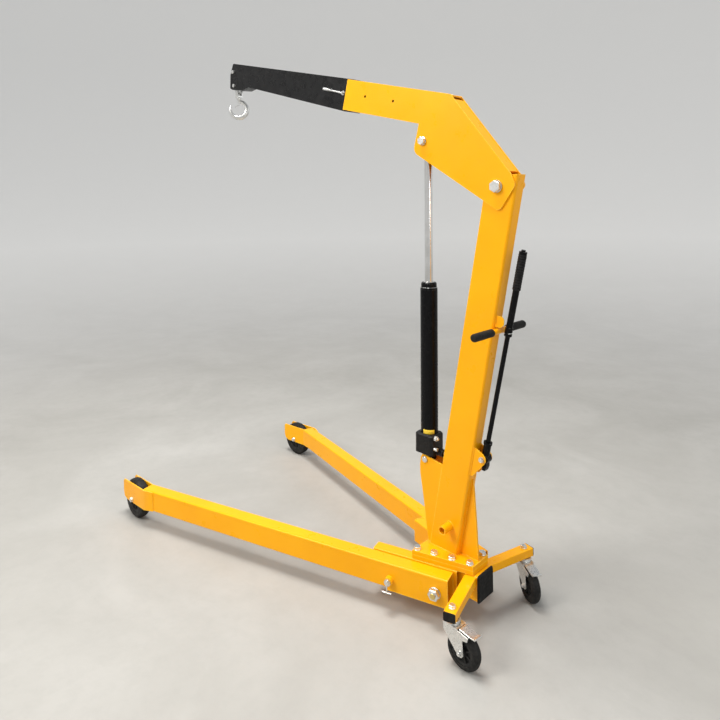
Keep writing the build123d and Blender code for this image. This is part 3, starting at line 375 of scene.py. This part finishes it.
def sweep(name, points, radius, body, slot, ripple=0.0, closed=False):
    """A round bar along points, with an optional weld ripple."""
    path = [Vector(p) for p in points]
    bm = bmesh.new()
    rings = []
    last_side = None
    for i, p in enumerate(path):
        before = path[i - 1] if i or closed else p
        after = path[(i + 1) % len(path)] if i + 1 < len(path) or closed else p
        along = (after - before).normalized()
        if last_side is None:
            side = along.orthogonal().normalized()
        else:
            side = (last_side - along * last_side.dot(along)).normalized()
        last_side = side
        up = along.cross(side)
        r = radius * (1 + ripple * math.sin(i * 2.1) + ripple * 0.6 * math.sin(i * 5.3))
        ring = []
        for k in range(SWEEP_SIDES):
            a = 2 * math.pi * k / SWEEP_SIDES
            ring.append(bm.verts.new(p + (side * math.cos(a) + up * math.sin(a)) * r))
        rings.append(ring)
    pairs = list(zip(rings, rings[1:]))
    if closed:
        pairs.append((rings[-1], rings[0]))
    for here, there in pairs:
        for k in range(SWEEP_SIDES):
            m = (k + 1) % SWEEP_SIDES
            bm.faces.new((here[k], here[m], there[m], there[k]))
    if not closed:
        bm.faces.new(rings[0])
        bm.faces.new(rings[-1])
    bmesh.ops.recalc_face_normals(bm, faces=bm.faces)
    return finish_piece(mesh_object(name, bm), body, slot)


WELD_RIPPLE = 0.16
WELD_STEP, RING_STEP = 0.0022, 0.0024


def weld(name, start, end, body, radius=0.0028):
    """A painted weld bead with its ripples, between two points."""
    a, b = Vector(start), Vector(end)
    count = max(6, int((b - a).length / WELD_STEP))
    points = [a.lerp(b, i / count) for i in range(count + 1)]
    return sweep(name, points, radius, body, "yellow_paint", WELD_RIPPLE)


def weld_ring(name, centre, axis, ring_radius, body, radius):
    """A painted weld bead round a tube."""
    _, side, up = frame_of(axis)
    count = int(2 * math.pi * ring_radius / RING_STEP)
    points = []
    for i in range(count):
        a = 2 * math.pi * i / count
        points.append(Vector(centre) + (side * math.cos(a) + up * math.sin(a)) * ring_radius)
    return sweep(name, points, radius, body, "yellow_paint", WELD_RIPPLE, closed=True)


# ------------------------------------------------------------ camera and stage
SENSOR_WIDTH = 36.0
CAMERA_AT = Vector((-1.872, 1.7724, 1.4388))
CAMERA_YAW, CAMERA_PITCH, CAMERA_ROLL = -0.78626, 0.01747, -0.0190
CAMERA_LENS = 29.67
CAMERA_SHIFT = (0.0189, -0.1923)


def make_camera():
    forward = Vector((math.cos(CAMERA_YAW) * math.cos(CAMERA_PITCH),
                      math.sin(CAMERA_YAW) * math.cos(CAMERA_PITCH), -math.sin(CAMERA_PITCH)))
    level = Vector((math.sin(CAMERA_YAW), -math.cos(CAMERA_YAW), 0))
    above = level.cross(forward)
    right = level * math.cos(CAMERA_ROLL) + above * math.sin(CAMERA_ROLL)
    up = above * math.cos(CAMERA_ROLL) - level * math.sin(CAMERA_ROLL)
    data = bpy.data.cameras.new("camera")
    data.lens, data.sensor_width = CAMERA_LENS, SENSOR_WIDTH
    data.shift_x, data.shift_y = CAMERA_SHIFT
    camera = bpy.data.objects.new("camera", data)
    turn = Matrix((right, up, -forward)).transposed().to_4x4()
    camera.matrix_world = Matrix.Translation(CAMERA_AT) @ turn
    bpy.context.scene.collection.objects.link(camera)
    bpy.context.scene.camera = camera


def area_light(name, place, width, height, power, colour, target=(0, 0, 0.8)):
    data = bpy.data.lights.new(name, "AREA")
    data.shape, data.size, data.size_y = "RECTANGLE", width, height
    data.energy, data.color = power, colour
    light = bpy.data.objects.new(name, data)
    light.location = place
    aim = Vector(target) - Vector(place)
    light.rotation_euler = aim.to_track_quat("-Z", "Y").to_euler()
    bpy.context.scene.collection.objects.link(light)


FLOOR_FLAT, FLOOR_RISE = 5.0, 9.0
FLOOR_TURNS, FLOOR_STEPS = 96, 24


def make_floor():
    """A round studio floor that rises softly into a backdrop."""
    profile = [(1.5, 0.0), (3.5, 0.0), (FLOOR_FLAT, 0.0)]
    for i in range(1, FLOOR_STEPS + 1):
        a = math.pi / 2 * i / FLOOR_STEPS
        profile.append((FLOOR_FLAT + FLOOR_RISE * math.sin(a), FLOOR_RISE * (1 - math.cos(a))))
    bm = bmesh.new()
    centre = bm.verts.new((0, 0, 0))
    rings = []
    for r, z in profile:
        turns = [2 * math.pi * k / FLOOR_TURNS for k in range(FLOOR_TURNS)]
        rings.append([bm.verts.new((r * math.cos(a), r * math.sin(a), z)) for a in turns])
    for k in range(FLOOR_TURNS):
        m = (k + 1) % FLOOR_TURNS
        bm.faces.new((centre, rings[0][k], rings[0][m]))
        for here, there in zip(rings, rings[1:]):
            bm.faces.new((here[k], there[k], there[m], here[m]))
    floor = mesh_object("studio_floor", bm)
    floor.data.materials.append(concrete())


def make_lights():
    world = bpy.data.worlds.new("studio")
    world.use_nodes = True
    background = world.node_tree.nodes["Background"]
    background.inputs["Color"].default_value = (0.92, 0.95, 1.0, 1.0)
    background.inputs["Strength"].default_value = 0.42
    bpy.context.scene.world = world
    area_light("key", (1.2, 3.8, 4.0), 2.0, 2.0, 185, (1.0, 0.97, 0.92))
    area_light("top", (0.2, 0.3, 5.2), 1.7, 1.7, 255, (1.0, 0.985, 0.96))
    area_light("rim", (-3.6, -2.4, 3.2), 2.0, 2.0, 14, (0.95, 0.97, 1.0))
    area_light("strip", (-4.2, 0.8, 2.3), 0.4, 2.2, 24, (1.0, 0.99, 0.97), (-0.5, 0, 1.3))


# ------------------------------------------------------------------ CAD nodes
# How wide the round on the hard edges of each node is.
SOFTENED = {
    "chassis_beam": 0.0012, "chassis_arms": 0.0012, "chassis_plate": 0.0020, "mast_flange": 0.0020,
    "caster_arms": 0.0008, "mast_tube": 0.0007, "ram_cheeks": 0.0004, "mast_gusset": 0.001,
    "lever_ears": 0.0008, "leg_left": 0.0010, "leg_right": 0.0010, "fork_left": 0.0008,
    "fork_right": 0.0008, "boom_plates": 0.0009, "boom_webs": 0.0008, "jib": 0.0010,
    "end_caps": 0.001, "pump_block": 0.003, "hook_link": 0.0008, "caster_fork_left": 0.0006,
    "caster_fork_right": 0.0006, "brake_pedal_left": 0.0006, "brake_pedal_right": 0.0006,
    "lever_socket": 0.0012, "rod_eye": 0.001, "flange_bolts": 0.0005, "boom_bolt": 0.0006,
    "ram_top_bolt": 0.0006, "leg_bolts": 0.0006, "caster_bolts": 0.0005, "jib_bolts": 0.0004,
    "tow_tube": 0.0008, "front_hub_left": 0.001, "front_hub_right": 0.001,
    "caster_hub_left": 0.0008, "caster_hub_right": 0.0008,
}


def dress_nodes():
    for node, obj in frame["nodes"].items():
        obj.data.materials.clear()
        obj.data.materials.append(material_of(node))
    for node, width in SOFTENED.items():
        soften(node, width)


# --------------------------------------------------------------------- wheels
def tyre(kind, side):
    """A moulded tyre with a crowned tread, a shoulder step and a bead line on each wall."""
    wheel = WHEELS[kind]
    node = f"{kind}_tyre_{side}"
    spin = JOINTS[wheel["joint"].format(side)]
    centre = Vector(spin["pos_m"])
    radius = centre.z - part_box(node)[0].z
    half = wheel["half_width"]
    crown = wheel["crown"]
    shoulder = radius - crown
    inner = radius * wheel["bore_share"]
    tread = [i / 6 for i in range(-6, 7)]
    profile = [(radius - crown * t * t, half * 0.62 * t) for t in tread]
    wall = [(shoulder - 0.0022, half * 0.80), (shoulder - 0.006, half * 0.93),
            (shoulder - 0.011, half * 0.985), (radius - 0.016, half * 0.985),
            (radius - 0.017, half * 0.955), (radius - 0.0185, half * 0.955),
            (radius - 0.0195, half), (inner + 0.002, half), (inner, half - 0.0015)]
    profile += wall + [(r, -h) for r, h in reversed(wall)]
    obj = lathe(node + "_moulded", centre, spin["axis"], profile, BODY_OF[node], "tyre_black", steps=96)
    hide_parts(node)


RIB_ROOT_HALF, RIB_TIP_HALF = 0.0022, 0.0016
RIB_QUADS = ((0, 1, 3, 2), (4, 6, 7, 5), (0, 4, 5, 1), (2, 3, 7, 6), (0, 2, 6, 4), (1, 5, 7, 3))


def hub_ribs(kind, side):
    """Moulded ribs in the dish on both faces of a wheel centre."""
    wheel = WHEELS[kind]
    spin = JOINTS[wheel["joint"].format(side)]
    centre = Vector(spin["pos_m"])
    along, across_0, across_1 = frame_of(spin["axis"])
    count, height = wheel["rib_count"], wheel["rib_height"]
    bm = bmesh.new()
    for face in (1, -1):
        for i in range(count):
            a = 2 * math.pi * (i + 0.5 * (face < 0)) / count
            out = across_0 * math.cos(a) + across_1 * math.sin(a)
            across = along.cross(out)
            corners = []
            for r, half in ((wheel["rib_in"], RIB_ROOT_HALF), (wheel["rib_out"], RIB_TIP_HALF)):
                for h in (height * 0.3, height):
                    spot = centre + out * r + along * (face * h)
                    corners += [bm.verts.new(spot - across * half), bm.verts.new(spot + across * half)]
            for quad in RIB_QUADS:
                bm.faces.new([corners[k] for k in quad])
    bmesh.ops.recalc_face_normals(bm, faces=bm.faces)
    obj = mesh_object(f"{kind}_ribs_{side}", bm, smooth=False)
    bevel = obj.modifiers.new("round", "BEVEL")
    bevel.width, bevel.segments = 0.0006, 2
    finish_piece(obj, BODY_OF[f"{kind}_tyre_{side}"], "wheel_black")


def race(side):
    """Ball race of a caster's swivel head: two pressed rims with a dark gap between."""
    foot = Vector(JOINTS[f"caster_{side}_swivel"]["pos_m"]) + Vector((0, 0, 0.0045))
    profile = [(0.0205, 0.0), (0.0262, 0.0), (0.0268, 0.0008), (0.0268, 0.0016), (0.0258, 0.0022),
               (0.0246, 0.0024), (0.0246, 0.0034), (0.0252, 0.0038), (0.0250, 0.0049), (0.0205, 0.0052)]
    lathe(f"swivel_race_{side}", foot, (0, 0, 1), profile, f"caster_{side[0]}", "zinc")


def dress_wheels():
    for _, side in SIDES:
        for kind in WHEELS:
            tyre(kind, side)
        for kind in WHEELS:
            hub_ribs(kind, side)
        race(side)


# ---------------------------------------------------------------- grips, lever
def ribbed(name, start, end, radius, depth, pitch, body, bore, closed=False):
    """A moulded grip with rings along it and a rounded far end."""
    start, end = Vector(start), Vector(end)
    length = (end - start).length
    profile = [(bore, 0.0), (radius * 0.94, 0.0), (radius, 0.0012)]
    count = int(length / pitch)
    for i in range(1, count):
        h = length * i / count
        profile += [(radius, h - pitch * 0.18), (radius - depth, h - pitch * 0.09),
                    (radius - depth, h + pitch * 0.09), (radius, h + pitch * 0.18)]
    profile += [(radius, length - 0.006), (radius * 0.93, length - 0.002), (radius * 0.74, length - 0.0002)]
    if closed:
        profile += [(0.0, length), (0.0, length - 0.002), (bore, length - 0.002)]
    else:
        profile.append((bore, length))
    return lathe(name, start, end - start, profile, body, "grip_black", steps=48)


BAR_R, BAR_GRIP_R, BAR_GRIP_FROM = 0.0100, 0.0135, 0.050
LEVER_GRIP_BORE, LEVER_GRIP_R = 0.0125, 0.0136
LEVER_GRIP_FROM, LEVER_GRIP_TO = 0.606, 0.730
LEVER_TOP = 0.7365
CLIP_AT, CLIP_R, CLIP_STEPS = 0.456, 0.0136, 24


def dress_bar():
    """The two grips of the push bar."""
    low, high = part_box("handlebar_grips")
    bar = (low + high) / 2
    for s, side in SIDES:
        grip = ribbed("grip_" + side, (bar.x, s * BAR_GRIP_FROM, bar.z), (bar.x, s * high.y, bar.z),
                      BAR_GRIP_R, 0.0013, 0.0075, "base", BAR_R, closed=True)
        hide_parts("handlebar_grips")


def dress_lever():
    """The lever's grip, its end bolt and a wire clip round its tube."""
    foot = Vector(JOINTS["lever_stroke"]["pos_m"])
    way = Vector((-LEVER_LEAN, 0, 1)).normalized()
    ribbed("lever_grip", foot + way * LEVER_GRIP_FROM, foot + way * LEVER_GRIP_TO,
           LEVER_GRIP_R, 0.0010, 0.0085, "lever", LEVER_GRIP_BORE)
    lathe("lever_end_bolt", foot + way * LEVER_TOP, way,
          [(0.0, 0.0), (0.0062, 0.0), (0.0062, 0.0032), (0.0048, 0.0052), (0.0, 0.0056)], "lever", "zinc")
    points = []
    for i in range(CLIP_STEPS + 1):
        a = math.pi * (0.15 + 1.7 * i / CLIP_STEPS)
        out = Vector((math.sin(a), math.cos(a), 0))
        points.append(foot + way * CLIP_AT + out * CLIP_R)
    sweep("lever_clip", points, 0.0012, "lever", "zinc")


# ---------------------------------------------------------------------- welds
EAR_WELD_Y, GUSSET_WELD_Y, BAR_WELD_HALF = 0.0235, 0.0048, 0.022
TOW_WELD_R = 0.0158
WELD_INSET = 0.009          # the back weld stops short of the corners of the mast tube


def mast_x(z, depth=0.0):
    """X of the mast at height z: depth 0 is its front face."""
    low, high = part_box("mast_tube")
    return high.x - MAST_LEAN * (z - low.z) - depth


def dress_welds():
    low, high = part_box("mast_tube")
    foot_z, half = low.z, high.y
    front, back = mast_x(foot_z), mast_x(foot_z, MAST_DEPTH)
    ear_low, ear_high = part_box("lever_ears")
    gusset_low, gusset_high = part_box("mast_gusset")
    tow_low, tow_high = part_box("tow_tube")
    tow = (tow_low + tow_high) / 2
    beam_low, beam_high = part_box("chassis_beam")
    bar_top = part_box("handlebar")[1].z
    bar_x, bar_z = mast_x(bar_top - 0.01, MAST_DEPTH), bar_top - 0.018
    gusset_foot = foot_z + 0.002
    for s, side in SIDES:
        weld("weld_mast_foot_" + side, (back, s * half, foot_z), (front, s * half, foot_z), "base")
        y = s * EAR_WELD_Y
        weld("weld_ear_" + side, (mast_x(ear_low.z, MAST_DEPTH), y, ear_low.z),
             (mast_x(ear_high.z, MAST_DEPTH), y, ear_high.z), "base", 0.002)
        y = s * GUSSET_WELD_Y
        weld("weld_gusset_" + side, (mast_x(gusset_foot, MAST_DEPTH), y, gusset_foot),
             (mast_x(gusset_high.z, MAST_DEPTH), y, gusset_high.z), "base", 0.002)
        weld("weld_gusset_foot_" + side, (gusset_low.x, y, foot_z), (back, y, foot_z), "base", 0.002)
        weld_ring("weld_tow_" + side, (tow.x, s * half, tow.z), (0, s, 0), TOW_WELD_R, "base", 0.0022)
        weld("weld_beam_top_" + side, (beam_low.x + 0.02, s * beam_high.y, beam_high.z),
             (beam_high.x, s * beam_high.y, beam_high.z), "base", 0.0024)
        weld("weld_bar_" + side, (bar_x, 0, bar_z), (bar_x, s * BAR_WELD_HALF, bar_z), "base", 0.0018)
    weld("weld_mast_front", (front, -half, foot_z), (front, half, foot_z), "base")
    inset = half - WELD_INSET
    weld("weld_mast_back", (back, -inset, foot_z), (back, inset, foot_z), "base")


# ------------------------------------------------------------------------ ram
LABEL_FROM, LABEL_TO = 0.0975, 0.1130
LABEL_START, LABEL_SPAN, LABEL_STEPS = 84, 76, 24     # degrees, degrees and steps
GLAND_STEP, GLAND_TOP = 0.6384, 0.6578                # up the ram from its foot


def dress_ram():
    """A blank label band low on the cylinder, and the bright rings at its gland."""
    foot = Vector(JOINTS["ram_tilt"]["pos_m"])
    gland_low, gland_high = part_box("ram_gland")
    top = (gland_low + gland_high) / 2
    way = (Vector((top.x, 0, top.z)) - foot).normalized()
    across = Vector((way.z, 0, -way.x))
    skin, proud = CYLINDER_R + 0.0001, CYLINDER_R + 0.0004
    section = ((LABEL_FROM, skin), (LABEL_FROM + 0.0005, proud), (LABEL_TO - 0.0005, proud), (LABEL_TO, skin))
    bm = bmesh.new()
    columns = []
    for i in range(LABEL_STEPS + 1):
        a = math.radians(LABEL_START + LABEL_SPAN * i / LABEL_STEPS)
        out = across * math.cos(a) + Vector((0, 1, 0)) * math.sin(a)
        columns.append([bm.verts.new(foot + way * h + out * r) for h, r in section])
    for here, there in zip(columns, columns[1:]):
        for j in range(3):
            bm.faces.new((here[j], there[j], there[j + 1], here[j + 1]))
    bmesh.ops.recalc_face_normals(bm, faces=bm.faces)
    finish_piece(mesh_object("blank_label", bm), "ram", "yellow_paint", label_film())

    lathe("gland_wire", foot + way * GLAND_STEP, way,
          [(0.0289, 0.0), (0.0303, 0.0), (0.0309, 0.0006), (0.0303, 0.0014), (0.0289, 0.0014)], "ram", "zinc")
    lathe("rod_wiper", foot + way * GLAND_TOP, way,
          [(0.0152, 0.0), (0.0196, 0.0), (0.0196, 0.0012), (0.0172, 0.0024), (0.0152, 0.0026)], "ram", "zinc")


# ----------------------------------------------------------------------- hook
HOOK_STATIONS, HOOK_SIDES = 56, 20
HOOK_FROM, HOOK_SWEEP = 90, 300          # degrees round the bowl, from the neck to the tip
HOOK_TIP_SHARE = 0.035                   # the part of the sweep that rounds off the tip


def hook_half(t):
    """Half the thickness of the hook's bar at t, from 0 at the neck to 1 at the tip."""
    swell = math.sin(math.pi * min(1.0, t * 0.92 + 0.08)) ** 1.3
    return 0.0066 + 0.0062 * swell - 0.0012 * t


def hook_tip(t):
    """How much of its thickness the bar keeps as the tip rounds off."""
    past = max(0.0, (t - 1 + HOOK_TIP_SHARE) / HOOK_TIP_SHARE)
    return max(0.05, math.sqrt(max(0.0, 1 - past ** 2)))


def hook_bar(centre):
    """The forged bar: thick in the bowl, tapering to a blunt tip."""
    out = Vector((math.cos(HOOK_TURN), math.sin(HOOK_TURN), 0))
    across = Vector((-out.y, out.x, 0))
    bm = bmesh.new()
    rings = []
    for i in range(HOOK_STATIONS + 1):
        t = i / HOOK_STATIONS
        angle = math.radians(HOOK_FROM + HOOK_SWEEP * t)
        half = hook_half(t)
        way = out * math.cos(angle) + Vector((0, 0, 1)) * math.sin(angle)
        mid = centre + way * (HOOK_OUTER - half)
        size = half * hook_tip(t)
        ring = []
        for k in range(HOOK_SIDES):
            a = 2 * math.pi * k / HOOK_SIDES
            wide = size * (1 - 0.12 * math.cos(a)) * 0.86
            ring.append(bm.verts.new(mid + way * (size * math.cos(a)) + across * (wide * math.sin(a))))
        rings.append(ring)
    for here, there in zip(rings, rings[1:]):
        for k in range(HOOK_SIDES):
            m = (k + 1) % HOOK_SIDES
            bm.faces.new((here[k], here[m], there[m], there[k]))
    bm.faces.new(rings[0])
    bm.faces.new(rings[-1])
    bmesh.ops.recalc_face_normals(bm, faces=bm.faces)
    return finish_piece(mesh_object("hook_forged", bm), "hook", "zinc")


def dress_hook():
    """A forged hook with a swivel neck and nut."""
    low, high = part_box("hook")
    swivel = Vector(JOINTS["hook_swivel"]["pos_m"])
    centre = Vector((swivel.x, swivel.y, low.z + HOOK_OUTER))
    up = Vector((0, 0, 1))
    bar = hook_bar(centre)
    neck = [(0.0, -0.010), (0.0062, -0.008), (0.0074, -0.002), (0.0085, 0.006), (0.0115, 0.0105),
            (0.0120, 0.0125), (0.0120, 0.0180), (0.0112, 0.0190), (0.0058, 0.0190), (0.0058, 0.0280),
            (0.0, 0.0280)]
    shank = lathe("hook_neck", centre + up * (HOOK_OUTER - 0.0075), up, neck, "hook", "zinc")
    hexagon = [(0.0, 0.0004), (0.0082, 0.0004), (0.0088, 0.0014), (0.0088, 0.0105), (0.0080, 0.0118),
               (0.0058, 0.0122), (0.0058, 0.0172), (0.0050, 0.0178), (0.0, 0.0178)]
    nut_foot = Vector((swivel.x, swivel.y, high.z - 0.018))
    nut = lathe("hook_nut", nut_foot, up, hexagon, "hook", "zinc", steps=6)
    for piece in (bar, shank, nut):
        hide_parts("hook")


# ----------------------------------------------------------------- bolt ends
def bolt_ends():
    """Gold-passivated thread ends that stand out of the nuts of the leg pivots."""
    profile = [(0.0, 0.0), (0.0102, 0.0), (0.0102, 0.0034), (0.0088, 0.0050), (0.0, 0.0052)]
    for _, side in SIDES:
        hinge = JOINTS["leg_fold_" + side]
        axis = Vector(hinge["axis"]).normalized() * -1
        nut = Vector(hinge["pos_m"]) + axis * LEG_BOLT_END
        lathe("leg_bolt_end_" + side, nut, axis, profile, "base", "zinc", material=ZINC_GOLD)


# ------------------------------------------------------------------- assembly
make_camera()
make_floor()
make_lights()
bpy.context.scene.view_settings.view_transform = "Standard"
dress_nodes()
dress_hook()
bolt_ends()
dress_wheels()
dress_bar()
dress_lever()
dress_welds()
dress_ram()
